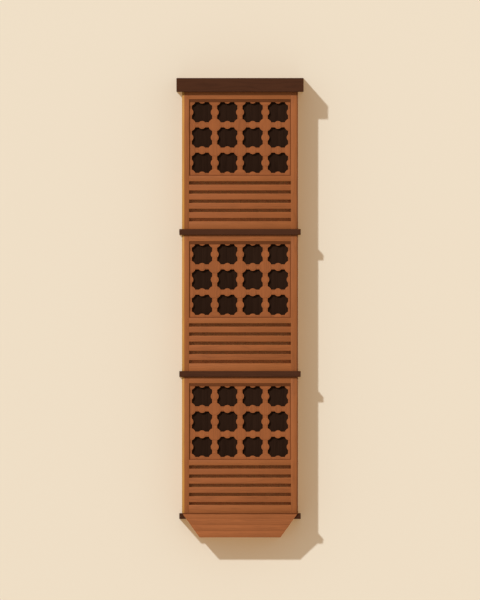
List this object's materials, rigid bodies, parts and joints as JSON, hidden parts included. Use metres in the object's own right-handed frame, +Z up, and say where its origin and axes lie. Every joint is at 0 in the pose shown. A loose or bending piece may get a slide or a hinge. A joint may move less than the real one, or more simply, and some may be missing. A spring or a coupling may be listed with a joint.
{
  "type": "mashrabiya bay screen",
  "caption": "Tall timber mashrabiya bay that hangs on a wall, with pierced lattices over slatted aprons, dark ledges, a boxed cornice and a tapered skirt.",
  "frame": {"origin": "centre of the back face of the base wall beam, in the plane of the wall", "axes": "+Z up, +Y into the wall, +X to the right as seen from in front of the bay"},
  "size_m": [2.954, 0.97, 10.675],
  "materials": {
    "frame_wood": "satin",
    "lattice_wood": "satin",
    "dark_shutter_wood": "satin",
    "slat_wood": "satin",
    "apron_wood": "satin",
    "dark_ledge_wood": "satin",
    "floor_wood": "satin",
    "inner_wood": "satin",
    "roof_wood": "satin",
    "skirt_wood": "satin",
    "golden_bead_wood": "satin"
  },
  "bodies": {
    "root": {"posts_storey_1": "frame_wood", "rails_storey_1": "frame_wood", "front_lattice_storey_1": "lattice_wood", "left_lattice_storey_1": "lattice_wood", "right_lattice_storey_1": "lattice_wood", "shutters_storey_1": "dark_shutter_wood", "louvres_storey_1": "slat_wood", "aprons_storey_1": "apron_wood", "ledge_storey_1": "dark_ledge_wood", "floor_storey_1": "floor_wood", "posts_storey_2": "frame_wood", "rails_storey_2": "frame_wood", "front_lattice_storey_2": "lattice_wood", "left_lattice_storey_2": "lattice_wood", "right_lattice_storey_2": "lattice_wood", "shutters_storey_2": "dark_shutter_wood", "louvres_storey_2": "slat_wood", "aprons_storey_2": "apron_wood", "ledge_storey_2": "dark_ledge_wood", "floor_storey_2": "floor_wood", "posts_storey_3": "frame_wood", "rails_storey_3": "frame_wood", "front_lattice_storey_3": "lattice_wood", "left_lattice_storey_3": "lattice_wood", "right_lattice_storey_3": "lattice_wood", "shutters_storey_3": "dark_shutter_wood", "louvres_storey_3": "slat_wood", "aprons_storey_3": "apron_wood", "ledge_storey_3": "dark_ledge_wood", "floor_storey_3": "floor_wood", "base_wall_beam": "inner_wood", "upper_wall_beams": "inner_wood", "floor_joists": "inner_wood", "cornice_soffit": "dark_ledge_wood", "cornice_fascia": "dark_ledge_wood", "cornice_ribs": "inner_wood", "roof_deck": "roof_wood", "skirt_front": "skirt_wood", "skirt_sides": "skirt_wood", "skirt_soffit": "skirt_wood", "brackets": "inner_wood", "corner_bead_left": "golden_bead_wood", "corner_bead_right": "frame_wood"}
  },
  "joints": []
}
